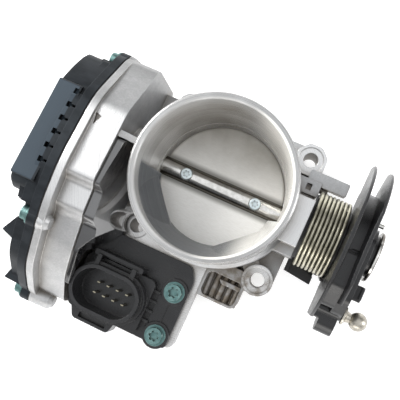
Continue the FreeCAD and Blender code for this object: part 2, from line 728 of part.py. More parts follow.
def make_cover(double):
    joint = JOINT_X - GASKET_T
    flange_end = joint - COVER_FLANGE_T
    flange = prism_x(CASE_OUTLINE, flange_end, joint, CASE_CORNER, -RIM_STEP)
    low = prism_x(CASE_OUTLINE, LOW_END_X, joint, CASE_CORNER, 2.6)
    raised = prism_x(RAISED_OUTLINE, RAISED_END_X + 1.2, joint, RAISED_CORNER)
    crown = prism_x(RAISED_OUTLINE, RAISED_END_X, RAISED_END_X + 1.3, RAISED_CORNER, 1.2)
    inside = prism_x(CASE_OUTLINE, LOW_END_X + COVER_WALL, joint + 1, CASE_CORNER, 4.6)
    inside = inside.fuse(prism_x(RAISED_OUTLINE, RAISED_END_X + COVER_WALL, joint + 1, RAISED_CORNER, 2.6))
    inside = around_screws(inside, RAISED_END_X - 1, joint + 2, SCREW_LUG_R + 1.7)
    lugs = []
    cuts = [inside] + strip_slots(flange_end)
    for y, z in COVER_SCREWS:
        lugs.append(cylinder_x(flange_end, joint, SCREW_LUG_R, y, z))
        cuts.append(cylinder_x(flange_end - 1, joint + 1, SCREW_HOLE_R, y, z))
        cuts.append(cylinder_x(flange_end - 16, flange_end, SCREW_LUG_R, y, z))
    shell = cut(fuse([flange, low, raised, crown] + cover_details(flange_end) + lugs), cuts)
    post_start = RAISED_END_X + 1
    posts = [tube_x(post_start, BIG_GEAR_X[0] - 1.4, AXLE_BOSS_R, AXLE_R + PRESS_FIT, double[0], double[1])]
    for y, z in BOARD_POSTS:
        posts.append(cylinder_x(post_start, BOARD_X[0] - 0.1, 2.4, y, z))
    save("actuator_cover", fuse([shell] + posts))


def torx_recess(x, y, z, radius, depth, along_z):
    """Six-lobed recess: a core cylinder with six small lobes around it."""
    core = 0.72 * radius
    lobe = 0.26 * radius
    places = [(0.0, 0.0, core)]
    for i in range(6):
        angle = math.radians(60 * i)
        places.append((core * math.cos(angle), core * math.sin(angle), lobe))
    tools = []
    for first, second, size in places:
        if along_z:
            tools.append(cylinder_z(x + first, y + second, size, z - depth, z + 1))
        else:
            tools.append(cylinder_x(x - 1, x + depth, size, y + first, z + second))
    return tools


def make_cover_screws():
    seat_x = JOINT_X - GASKET_T - COVER_FLANGE_T
    head_x = seat_x - SCREW_HEAD_H
    tip_x = JOINT_X + SCREW_DEPTH - 0.5
    profile = [
        (head_x, 0), (head_x, SCREW_HEAD_R - 0.4), (head_x + 0.4, SCREW_HEAD_R), (seat_x - 1.0, SCREW_HEAD_R),
        (seat_x - 0.9, SCREW_WASHER_R), (seat_x, SCREW_WASHER_R), (seat_x, COVER_SCREW_R),
        (tip_x, COVER_SCREW_R), (tip_x, 0),
    ]
    screws = []
    for y, z in COVER_SCREWS:
        screws.append(cut(turned_x(profile, y, z), torx_recess(head_x, y, z, 2.3, 1.8, False)))
    save("cover_screws", Part.makeCompound(screws))


# ---------------------------------------------------------------- connector module

def stadium_z(half_length, half_width, z0, z1):
    """Upright prism with an oval outline around the socket's centre."""
    radius = half_width
    offset = half_length - radius
    middle = box(SOCKET_X - offset, SOCKET_X + offset, SOCKET_Y - radius, SOCKET_Y + radius, z0, z1)
    ends = [cylinder_z(SOCKET_X + side * offset, SOCKET_Y, radius, z0, z1) for side in (-1, 1)]
    return fuse([middle] + ends)


def connector_plate(top):
    """Base plate with two screw lugs, the ribs beside them and a hanging apron."""
    plate = prism_z([(-45.4, -78.6), (5.4, -78.6), (5.4, -44), (1.6, -38), (-37, -38), (-45.4, -46)],
                    CONNECTOR_Z, top, 2.0)
    lug_top = top + CONNECTOR_LUG_H
    lugs = [cylinder_z(x, y, CONNECTOR_LUG_R, CONNECTOR_Z, lug_top) for x, y in CONNECTOR_SCREWS]
    bridge = box(-7.2, -1.0, -74, -52, CONNECTOR_Z, top + 1.0)
    ribs = []
    for i in range(4):
        y = -70.5 + 4.8 * i
        ribs.append(box(-10.0, -6.4, y, y + 1.2, top - 0.5, top + 2.4))
    apron = prism_z([(-40.5, -83.0), (-22, -83.0), (-20, -76), (-44, -76)], CONNECTOR_Z + 0.2, top + 3, 1.5)
    skirt = prism_z([(-40.5, -83.0), (-22, -83.0), (-20.8, -78.4), (-42.6, -78.4)],
                    CONNECTOR_Z - 6, CONNECTOR_Z + 1, 1.0)
    recess = box(-38, -24, -81.6, -79.2, top, top + 4)
    return [plate, bridge, fuse([apron, skirt]).cut(recess)] + lugs + ribs


def connector_shroud(top):
    """Oval socket wall on a square base, with the latch rail, its guides and three keys."""
    base = prism_z([(-45.2, -77.5), (-9.5, -77.5), (-9.5, -51), (-45.2, -51)], top - 1, top + 6, 3.0)
    wall = stadium_z(SOCKET_HALF_L, SOCKET_HALF_W, top - 1, SOCKET_TOP_Z)
    collar = stadium_z(SOCKET_HALF_L + 1.4, SOCKET_HALF_W + 1.4, top - 1, SOCKET_TOP_Z - 6)
    rail = prism_z([(-41, -50.6), (-16.5, -50.6), (-16.5, -47.8), (-41, -47.8)], top - 1, 36, 0.9)
    parts = [base, wall, collar, rail]
    for x in (-37.5, -20.0):
        parts.append(box(x - 1.1, x + 1.1, -55.0, -49.5, top, 38))
    key_y = SOCKET_Y - SOCKET_HALF_W
    for x in (-35.0, -28.8, -22.6):
        parts.append(box(x - 0.9, x + 0.9, key_y - 1.2, key_y + 1, top, 38))
    return parts


def make_connector_module():
    top = CONNECTOR_Z + CONNECTOR_PLATE_T
    cuts = [
        stadium_z(SOCKET_HALF_L - SOCKET_WALL, SOCKET_HALF_W - SOCKET_WALL, SOCKET_FLOOR_Z, SOCKET_TOP_Z + 1),
        box(-38, -19.5, -51.5, -49.6, 31, 37),
    ]
    for x, y in CONNECTOR_SCREWS:
        cuts.append(cylinder_z(x, y, 2.7, CONNECTOR_Z - 1, top + 3))
    for x, y in pin_places():
        cuts.append(pin_box(x, y, 0.05, CONNECTOR_Z + 0.5, SOCKET_FLOOR_Z + 1))
    save("connector_module", cut(fuse(connector_plate(top) + connector_shroud(top)), cuts))


def pin_places():
    places = []
    for row in (-0.5, 0.5):
        for column in range(4):
            places.append((SOCKET_X + 1.2 + (column - 1.5) * PIN_PITCH, SOCKET_Y + 0.2 + row * PIN_ROWS))
    return places


def pin_box(x, y, play, z0, z1):
    half_w = PIN_HALF_W + play
    half_t = PIN_HALF_T + play
    return box(x - half_w, x + half_w, y - half_t, y + half_t, z0, z1)


def make_connector_pins():
    pins = [pin_box(x, y, 0.0, CONNECTOR_Z + 0.6, PIN_TOP_Z) for x, y in pin_places()]
    save("connector_pins", Part.makeCompound(pins))


def make_connector_seal():
    low_z = CONNECTOR_Z - 0.3
    outer = prism_z([(-40, -76), (1, -76), (1, -41), (-34, -41), (-40, -47)], low_z, CONNECTOR_Z, 3.0)
    inner = prism_z([(-37.5, -73.5), (-4.5, -73.5), (-4.5, -43.5), (-33, -43.5), (-37.5, -48)],
                    low_z - 1, CONNECTOR_Z + 1, 2.0)
    holes = [cylinder_z(x, y, 2.7, low_z - 1, CONNECTOR_Z + 1) for x, y in CONNECTOR_SCREWS]
    save("connector_seal", cut(outer, [inner] + holes))


def make_connector_screws():
    seat = CONNECTOR_Z + CONNECTOR_PLATE_T + CONNECTOR_LUG_H
    head_top = seat + 4.2
    screws = []
    for x, y in CONNECTOR_SCREWS:
        washer = cylinder_z(x, y, 5.0, seat, seat + 1.2)
        head = cylinder_z(x, y, 3.7, seat, head_top)
        shank = cylinder_z(x, y, CONNECTOR_SCREW_R, 11, seat)
        screws.append(cut(fuse([washer, head, shank]), torx_recess(x, y, head_top, 2.6, 2.2, True)))
    save("connector_screws", Part.makeCompound(screws))


def lead_block(inset):
    """Leaning block between the casing and the bore, shrunk by a wall thickness."""
    back = FLOOR_X + 0.1
    foot_x = LEAD_FOOT_X - inset
    block = prism_x(LEAD_OUTLINE, back, LEAD_FOOT_X, 1.2, inset)
    side_view = [(back - 1, LEAD_LOW_Z - 1), (foot_x, LEAD_LOW_Z - 1), (foot_x, LEAD_BEND_Z),
                 (back + 1.8 - inset, 66), (back - 1, 66)]
    top_view = [(back - 1, 5), (foot_x, 5), (foot_x, -36), (-41.6 - inset, -47.0), (-43.6 - inset, -50.5),
                (-44.0 - inset, -72), (back - 1, -72)]
    rooms = [
        cylinder_z(0, 0, BODY_R + 0.4 + inset, 0, HEIGHT),
        cylinder_x(FLOOR_X - 1, -30, NEAR_BOSS_R + 0.4 + inset),
        cylinder_z(-BOLT_X, -BOLT_Y, BOLT_ROOM_R + inset, 0, HEIGHT),
    ]
    return cut(block.common(prism_y(side_view, -80, 10)).common(prism_z(top_view, 0, HEIGHT)), rooms)


def make_lead_cover():
    """Glossy leaning shell that hides the leads on the casing's inner side."""
    save("lead_cover", lead_block(0.0).cut(lead_block(LEAD_WALL)))


# ---------------------------------------------------------------- shaft and plate

def make_shaft():
    shaft = cylinder_x(SHAFT_START_X, SHAFT_END_X, SHAFT_R)
    half = PLATE_T / 2 + 0.03
    cuts = [box(-THROAT_R - 0.2, THROAT_R + 0.2, -10, 10, SHAFT_Z - half, SHAFT_Z + half)]
    for side in (-1, 1):
        x = side * PLATE_SCREW_X
        cuts.append(cylinder_z(x, 0, PLATE_SCREW_R + SCREW_FIT, SHAFT_Z - 6, SHAFT_Z + 6))
        cuts.append(cylinder_z(x, 0, PLATE_SCREW_HEAD_R + 0.15, SHAFT_Z + 3.0, SHAFT_Z + 6))
        low_z, high_z = sorted((SHAFT_Z + side * FLAT_HALF, SHAFT_Z + side * 6))
        cuts.append(box(HUB_END_X, SHAFT_END_X + 1, -6, 6, low_z, high_z))
    save("throttle_shaft", cut(shaft, cuts))


def make_plate():
    low_z = SHAFT_Z - PLATE_T / 2
    high_z = SHAFT_Z + PLATE_T / 2
    plate = turned([
        (0, low_z), (PLATE_R - 0.5, low_z), (PLATE_R, low_z + 0.5), (PLATE_R, high_z - 0.5),
        (PLATE_R - 0.5, high_z), (0, high_z),
    ])
    holes = [cylinder_z(side * PLATE_SCREW_X, 0, PLATE_SCREW_R + 0.1, 20, 40) for side in (-1, 1)]
    save("throttle_plate", cut(plate, holes))


def make_plate_screws():
    head_z = SHAFT_Z + 3.05
    rim_z = SHAFT_Z + 4.6
    top_z = rim_z + 0.3
    screws = []
    for side in (-1, 1):
        x = side * PLATE_SCREW_X
        shank = cylinder_z(x, 0, PLATE_SCREW_R, SHAFT_Z - 4.2, head_z + 0.05)
        head = cylinder_z(x, 0, PLATE_SCREW_HEAD_R, head_z, rim_z)
        crown = Part.makeCone(PLATE_SCREW_HEAD_R, PLATE_SCREW_HEAD_R - 0.35, 0.3, Vector(x, 0, rim_z), Z_AXIS)
        screws.append(cut(fuse([shank, head, crown]), torx_recess(x, 0, top_z, 1.7, 0.9, True)))
    save("plate_screws", Part.makeCompound(screws))


def make_bearings():
    outer = BEARING_R - PRESS_FIT
    near = tube_x(FLOOR_X + 0.3, FLOOR_X + BEARING_L - 0.1, outer, SHAFT_R + RUN_FIT)
    far = tube_x(BOSS_END_X - BEARING_L - 2.9, BOSS_END_X - 3.1, outer, SHAFT_R + RUN_FIT)
    save("shaft_bearings", Part.makeCompound([near, far]))


def make_seals():
    seals = []
    for x0, x1 in ((FLOOR_X - 2.9, FLOOR_X + 0.1), (BOSS_END_X - 2.9, BOSS_END_X - 0.2)):
        ring = tube_x(x0, x1, BEARING_R - PRESS_FIT, SHAFT_R + 0.09)
        groove = tube_x(x0 - 0.5, x0 + 1.2, BEARING_R - 1.0, SHAFT_R + 0.7)
        seals.append(ring.cut(groove))
    save("shaft_seals", Part.makeCompound(seals))


def make_driver():
    """Dog on the shaft's casing end that the sector gear's pin pushes."""
    x0 = SECTOR_X[0] - 3.2
    x1 = SECTOR_X[0] - 0.4
    hub = cylinder_x(x0, x1, 7.0)
    arm = prism_x(bar_outline(DRIVER_ANGLE, 3.0, DOG_REACH + 1.5, 2.6), x0, x1, 1.0)
    save("shaft_driver", fuse([hub, arm]).cut(cylinder_x(x0 - 1, x1 + 1, SHAFT_R + 0.01)))


def make_sensor_board():
    board = box(*BOARD_X, *BOARD_Y, *BOARD_Z)
    cuts = [cylinder_x(BOARD_X[0] - 1, BOARD_X[1] + 1, SHAFT_R + 1.5)]
    for y, z in BOARD_POSTS:
        cuts.append(cylinder_x(BOARD_X[0] - 1, BOARD_X[1] + 1, 1.3, y, z))
    save("sensor_board", cut(board, cuts))


def make_sensor_wiper():
    start = BOARD_X[1] + 0.9
    hub = cylinder_x(start, start + 1.2, 6.5)
    blade = prism_x([(0, SHAFT_Z - 2.5), (13, SHAFT_Z - 1.6), (13, SHAFT_Z + 1.6), (0, SHAFT_Z + 2.5)],
                    start, start + 0.7)
    save("sensor_wiper", fuse([hub, blade]).cut(cylinder_x(start - 1, start + 3, SHAFT_R + 0.01)))


# ---------------------------------------------------------------- spring side

def make_spring_guide():
    start = TOWER_X + 0.05
    end = BOSS_END_X + 0.8
    sleeve = tube_x(start, end, GUIDE_R, BOSS_R + 0.03)
    collar = tube_x(start, start + 0.7, GUIDE_R + 1.2, BOSS_R + 0.03)
    cap = tube_x(BOSS_END_X + 0.05, end, GUIDE_R, SHAFT_R + 0.5)
    save("spring_guide", fuse([sleeve, collar, cap]))


def make_return_spring():
    height = SPRING_PITCH * SPRING_TURNS
    helix = Part.makeHelix(SPRING_PITCH, height, SPRING_MEAN_R)
    edges = list(helix.Edges)
    start = edges[0].valueAt(edges[0].FirstParameter)
    end = edges[-1].valueAt(edges[-1].LastParameter)
    slope = SPRING_PITCH / (2 * math.pi)
    turned_by = 2 * math.pi * SPRING_TURNS
    lead_in = Vector(0, -SPRING_MEAN_R, -slope).normalize()
    lead_out = Vector(
        -SPRING_MEAN_R * math.sin(turned_by), SPRING_MEAN_R * math.cos(turned_by), slope).normalize()
    tail = Part.LineSegment(start + lead_in * START_LEG_L, start).toShape()
    nose = Part.LineSegment(end, end + lead_out * END_LEG_L).toShape()
    path = Part.Wire([tail] + edges + [nose])
    section = Part.Wire(Part.Circle(start + lead_in * START_LEG_L, lead_in, WIRE_R).toShape())
    coil = path.makePipeShell([section], True, False)
    coil.rotate(Vector(0, 0, 0), Vector(0, 1, 0), 90)
    coil.rotate(Vector(0, 0, 0), X_AXIS, 90)
    coil.translate(Vector(SPRING_X0, 0, SHAFT_Z))
    save("return_spring", coil)


def make_stop_bracket():
    """Tongue that anchors the spring and a shelf that stops the closing quadrant."""
    start = TOWER_X + 0.05
    foot = box(start, start + 1.95, -21.5, -11.5, 4, 20.4)
    tongue = prism_z([(start, -21.5), (54.6, -23.0), (54.6, -18.8), (start, -15.8)], 11, 17, 0.5)
    shelf = box(start, 57.0, -17.5, -12.0, 6.5, STOP_Z - 0.4)
    gusset = box(start, 54.6, -21.3, -17.0, 7.5, 12.0)
    save("stop_bracket", fuse([foot, tongue, shelf, gusset]))


# ---------------------------------------------------------------- quadrant

def sector_of(disc, below, above, chord_y):
    """Disc around the shaft, cut straight below and above the shaft and at its -Y side."""
    low = box(0, 90, -60, 60, SHAFT_Z - 60, SHAFT_Z - below)
    far = box(0, 90, -60, chord_y, SHAFT_Z - 60, SHAFT_Z + 60)
    high = box(0, 90, -60, 60, SHAFT_Z + above, SHAFT_Z + 60)
    return cut(disc, [low, far, high])


def groove_flange(outer_x, groove_x, radius):
    """Round flange whose groove side tapers to a thin rim."""
    rim_x = outer_x + (groove_x - outer_x) * RIM_SHARE
    return turned_x([(outer_x, 0), (outer_x, radius - 0.5), (outer_x + (rim_x - outer_x) * 0.4, radius),
                     (rim_x, radius - 0.3), (groove_x, DRUM_R + 3), (groove_x, 0)])


def make_quadrant():
    """Cable quadrant: two flanges on a drum, the stop finger and the lobe that carries the ball stud."""
    inner = sector_of(groove_flange(FLANGE_IN_X[0], FLANGE_IN_X[1], QUADRANT_R), 4, 33, -34.6)
    outer = sector_of(groove_flange(FLANGE_OUT_X[1], FLANGE_OUT_X[0], QUADRANT_R - 0.4), 4, 33, -25.0)
    drum = sector_of(cylinder_x(FLANGE_IN_X[0], FLANGE_OUT_X[1], DRUM_R), 7, 30, -30.0)
    hub = turned_x([
        (HUB_START_X, 0), (HUB_START_X, HUB_R), (CAGE_END_X + 0.2, HUB_R), (CAGE_END_X + 1.0, HUB_NECK_R),
        (HUB_END_X, HUB_NECK_R), (HUB_END_X, 0),
    ])
    lobe = prism_x(LOBE_OUTLINE, FLANGE_OUT_X[0] - 2.4, CAGE_END_X, 2.0)
    bridge = prism_x(rectangle(-34.4, -18, 26, LOBE_TOP_Z), FLANGE_IN_X[0], FLANGE_OUT_X[0] + 0.8, 1.0)
    stud_rib = cylinder_x(FLANGE_IN_X[1], STUD_SEAT_X, 3.0, BALL[1], BALL[2])
    block = prism_x(BLOCK_OUTLINE, FLANGE_IN_X[1] - 0.5, FLANGE_OUT_X[0] + 0.5, 2.0)
    cage = prism_x(CAGE_OUTLINE, FLANGE_OUT_X[0], CAGE_END_X, 2.5)
    finger = [(-12.4, STOP_Z), (-17.2, STOP_Z), (-19.5, 30), (-10.0, 30)]
    stop_lug = prism_x(finger, FLANGE_IN_X[0] - 1.0, FLANGE_IN_X[0] + 0.5, SMALL_CORNER)
    stop_foot = prism_x(rectangle(-17.2, -12.4, STOP_Z, 13), FLANGE_IN_X[0] - 3.0, FLANGE_IN_X[0] + 0.5, 0.6)
    solid = fuse([inner, outer, drum, hub, lobe, bridge, stud_rib, block, cage, stop_lug, stop_foot])
    leg_y = -SPRING_MEAN_R
    cuts = [
        prism_x(rectangle(-10, 6, 43, 51), CAGE_END_X - 0.6, CAGE_END_X + 1, 2.0),
        prism_z(rectangle(61.4, 67.6, -13, -2), 54.2, 58, 1.8),
        box(56, FLANGE_IN_X[0], leg_y - 1.4, leg_y + 1.4, SHAFT_Z - END_LEG_L - 1, SHAFT_Z),
        cylinder_x(FLANGE_IN_X[0] - 10, HUB_END_X + 5, SHAFT_R + 0.01),
        cylinder_x(68, STUD_SEAT_X + 3, STUD_R + PRESS_FIT, BALL[1], BALL[2]),
        cylinder_x(60, 80, PIN_R + PRESS_FIT, PIN_Y, PIN_Z),
        tube_x(HUB_START_X - 1, HUB_START_X + 0.3, 20, 8.0),
    ]
    save("cable_quadrant", cut(solid, cuts))


def make_quadrant_disc():
    start = HUB_END_X + 0.05
    disc = turned_x([
        (start, 3.5), (start, DISC_R - 0.4), (start + 0.35, DISC_R), (start + 1.15, DISC_R),
        (start + 1.55, DISC_R - 0.4), (start + 1.55, 3.5),
    ])
    flats = box(start - 1, start + 3, -6, 6, SHAFT_Z - FLAT_HALF, SHAFT_Z + FLAT_HALF)
    save("quadrant_disc", disc.cut(cylinder_x(start - 1, start + 3, SHAFT_R + 0.01).common(flats)))


def make_quadrant_pin():
    save("quadrant_pin", cylinder_x(FLANGE_OUT_X[0], HUB_END_X - 0.2, PIN_R, PIN_Y, PIN_Z))


def make_ball_stud():
    x, y, z = BALL
    seat = STUD_SEAT_X + 0.05
    stud = turned_x([
        (68.1, 0), (68.1, STUD_R), (seat, STUD_R), (seat, 4.0), (seat + 0.95, 4.0), (seat + 1.55, 2.6),
        (x - 2.6, 1.9), (x, 1.9), (x, 0),
    ], y, z)
    ball = Part.makeSphere(BALL_R, Vector(x, y, z))
    flat = box(x + BALL_R - 0.35, x + BALL_R + 1, y - 5, y + 5, z - 5, z + 5)
    save("ball_stud", fuse([stud, ball.cut(flat)]))


def make_cable_clip():
    start = CAGE_END_X + 0.05
    body = prism_x(rectangle(-21.2, -14.2, 31, 40), start, 75.8, 1.0)
    nub = cylinder_x(71.0, 72.6, 1.2, -22.6, 36.0)
    arm = box(start, 71.6, -23.2, -21.0, 34.8, 37.2)
    lip = box(74.6, 75.8, -20.0, -14.8, 40, 41.2)
    save("cable_clip", fuse([body, nub, arm, lip]))


# ---------------------------------------------------------------- build

double_axis, motor_axis = gear_axes()
make_housing(double_axis, motor_axis)
make_gasket()
make_cover(double_axis)
make_cover_screws()
make_connector_module()
make_connector_pins()
make_connector_seal()
make_connector_screws()
make_lead_cover()
make_shaft()
make_plate()
make_plate_screws()
make_bearings()
make_seals()
make_driver()
make_sensor_board()
make_sensor_wiper()
make_sector_gear()
make_double_gear(double_axis)
make_gear_axle(double_axis)
make_motor(motor_axis)
make_motor_clamp(motor_axis)
make_clamp_screws(motor_axis)
make_motor_pinion(motor_axis)
make_spring_guide()
make_return_spring()
make_stop_bracket()
make_quadrant()
make_quadrant_disc()
make_quadrant_pin()
make_ball_stud()
make_cable_clip()
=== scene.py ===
import json
import math
import bpy
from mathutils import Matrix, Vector


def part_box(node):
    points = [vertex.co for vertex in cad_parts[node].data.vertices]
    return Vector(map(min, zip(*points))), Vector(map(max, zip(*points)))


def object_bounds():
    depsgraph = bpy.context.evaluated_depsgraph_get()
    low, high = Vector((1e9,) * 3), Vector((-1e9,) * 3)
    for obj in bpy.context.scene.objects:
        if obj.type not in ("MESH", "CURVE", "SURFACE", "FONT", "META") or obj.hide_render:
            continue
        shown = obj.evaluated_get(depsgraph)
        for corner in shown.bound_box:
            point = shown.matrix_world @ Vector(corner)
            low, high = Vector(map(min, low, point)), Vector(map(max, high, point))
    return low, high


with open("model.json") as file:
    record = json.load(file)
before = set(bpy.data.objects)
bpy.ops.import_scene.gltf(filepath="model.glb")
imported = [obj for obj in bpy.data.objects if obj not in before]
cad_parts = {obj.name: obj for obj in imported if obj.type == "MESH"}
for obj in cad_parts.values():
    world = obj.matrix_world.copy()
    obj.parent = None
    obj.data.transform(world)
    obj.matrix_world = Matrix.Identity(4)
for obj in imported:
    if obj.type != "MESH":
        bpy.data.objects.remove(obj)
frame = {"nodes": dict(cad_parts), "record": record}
CAD_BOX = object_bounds()
MM = 0.001

# Studio levels: strength of the surroundings, the floor's own glow and the three soft boxes in watts
WORLD_STRENGTH = 1.0
FLOOR_GLOW = 0.30
LEFT_POWER = 10.5
FRONT_POWER = 3.4
RIGHT_POWER = 3.0

# The row frame has its origin on the bore axis at the manifold face, +Z up the bore and
# +X along the shaft. Sizes that materials need are named here.
PLATE_LOW, PLATE_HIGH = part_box("throttle_plate")
PLATE_R = (PLATE_HIGH.x - PLATE_LOW.x) / 2
BORE_WALL_R = 32.3 * MM
SPIGOT_WALL_R = 34.9 * MM
SPIGOT_START_Z = 54 * MM
INLET_Z = CAD_BOX[1].z
CASING_TOP_Z = 49.8 * MM
LUG_TOP_Z = 19.4 * MM
CRESCENT_Z = (33 * MM, 70 * MM)
STRIP_X = -70.8 * MM
STRIP_Y = (-31.4 * MM, 14.2 * MM)
SHAFT_EDGE_Y = 3.6 * MM
WEAVE_PER_M = 9000.0
FLOOR_SIZE = 30.0
FLOOR_GAP = 0.2 * MM


# ---------------------------------------------------------------- node helpers

def add(tree, kind, settings=None, **inputs):
    """Adds one shader node. Inputs are values, or sockets to link; underscores stand for spaces."""
    made = tree.nodes.new("ShaderNode" + kind)
    for name, value in (settings or {}).items():
        setattr(made, name, value)
    for name, value in inputs.items():
        feed(tree, made.inputs[name.replace("_", " ")], value)
    return made


def feed(tree, socket, value):
    if isinstance(value, bpy.types.NodeSocket):
        tree.links.new(value, socket)
    else:
        socket.default_value = value


def calc(tree, operation, first, second=0.0):
    made = tree.nodes.new("ShaderNodeMath")
    made.operation = operation
    for socket, value in zip(made.inputs, (first, second)):
        feed(tree, socket, value)
    return made.outputs[0]


def span(tree, value, start, end, low=0.0, high=1.0, smooth=True):
    """Maps a value between start and end to low and high, and holds it outside them."""
    made = add(tree, "MapRange", {"interpolation_type": "SMOOTHSTEP" if smooth else "LINEAR"}, Value=value)
    made.inputs["From Min"].default_value = start
    made.inputs["From Max"].default_value = end
    made.inputs["To Min"].default_value = low
    made.inputs["To Max"].default_value = high
    return made.outputs["Result"]


def both(tree, *masks):
    result = masks[0]
    for mask in masks[1:]:
        result = calc(tree, "MULTIPLY", result, mask)
    return result


def blend_colour(tree, mask, first, second):
    made = tree.nodes.new("ShaderNodeMix")
    made.data_type = "RGBA"
    for name, value in (("Factor_Float", mask), ("A_Color", first), ("B_Color", second)):
        socket = next(s for s in made.inputs if s.identifier == name)
        feed(tree, socket, value)
    return next(s for s in made.outputs if s.identifier == "Result_Color")


def blend_value(tree, mask, first, second):
    made = tree.nodes.new("ShaderNodeMix")
    made.data_type = "FLOAT"
    for name, value in (("Factor_Float", mask), ("A_Float", first), ("B_Float", second)):
        socket = next(s for s in made.inputs if s.identifier == name)
        feed(tree, socket, value)
    return next(s for s in made.outputs if s.identifier == "Result_Float")


def rgb(red, green, blue):
    return (red, green, blue, 1.0)


def position(tree):
    return add(tree, "TexCoord").outputs["Object"]


def axes_of(tree, vector):
    parts = add(tree, "SeparateXYZ", Vector=vector)
    return parts.outputs["X"], parts.outputs["Y"], parts.outputs["Z"]


def noise(tree, vector, size, detail=3.0, roughness=0.55):
    """Noise whose features are about size metres across."""
    made = add(tree, "TexNoise", Vector=vector, Scale=1.0 / size, Detail=detail, Roughness=roughness)
    return made.outputs["Fac"]


def stretched(tree, vector, factors):
    made = add(tree, "Mapping", Vector=vector)
    made.inputs["Scale"].default_value = factors
    return made.outputs["Vector"]


def radius_about(tree, first, second):
    """Distance from an axis, given the two coordinates across it."""
    first_square, second_square = [calc(tree, "MULTIPLY", side, side) for side in (first, second)]
    return calc(tree, "SQRT", calc(tree, "ADD", first_square, second_square))


def rings(tree, distance, spacing):
    """Fine uneven turning marks along a distance."""
    vector = add(tree, "CombineXYZ", X=distance).outputs["Vector"]
    return noise(tree, vector, spacing, detail=4.0, roughness=0.7)


def soft_edges(tree, radius):
    return add(tree, "Bevel", {"samples": 4}, Radius=radius).outputs["Normal"]


def edge_mask(tree, radius, reach=0.06):
    """1 on convex and concave edges, 0 on flat areas."""
    rounded = soft_edges(tree, radius)
    flat = add(tree, "NewGeometry").outputs["Normal"]
    dot = tree.nodes.new("ShaderNodeVectorMath")
    dot.operation = "DOT_PRODUCT"
    feed(tree, dot.inputs[0], rounded)
    feed(tree, dot.inputs[1], flat)
    return span(tree, dot.outputs["Value"], 1.0 - reach, 0.999, 1.0, 0.0)


def crevices(tree, distance):
    """1 deep in corners and hollows, 0 on open faces."""
    made = add(tree, "AmbientOcclusion", {"samples": 6}, Distance=distance)
    return span(tree, made.outputs["AO"], 0.25, 0.9, 1.0, 0.0)


def bumps(tree, height, strength, distance, normal=None):
    made = add(tree, "Bump", Height=height, Strength=strength, Distance=distance)
    if normal is not None:
        feed(tree, made.inputs["Normal"], normal)
    return made.outputs["Normal"]


def start_material(name):
    material = bpy.data.materials.new(name)
    material.use_nodes = True
    return material, material.node_tree, shader_of(material)


def shader_of(material):
    return next(node for node in material.node_tree.nodes if node.type == "BSDF_PRINCIPLED")


def paint_over(material, mask, colour):
    """Blends a colour over a finished material where the mask is 1."""
    tree = material.node_tree
    socket = shader_of(material).inputs["Base Color"]
    base = socket.links[0].from_socket
    feed(tree, socket, blend_colour(tree, mask, base, colour))


# ---------------------------------------------------------------- materials

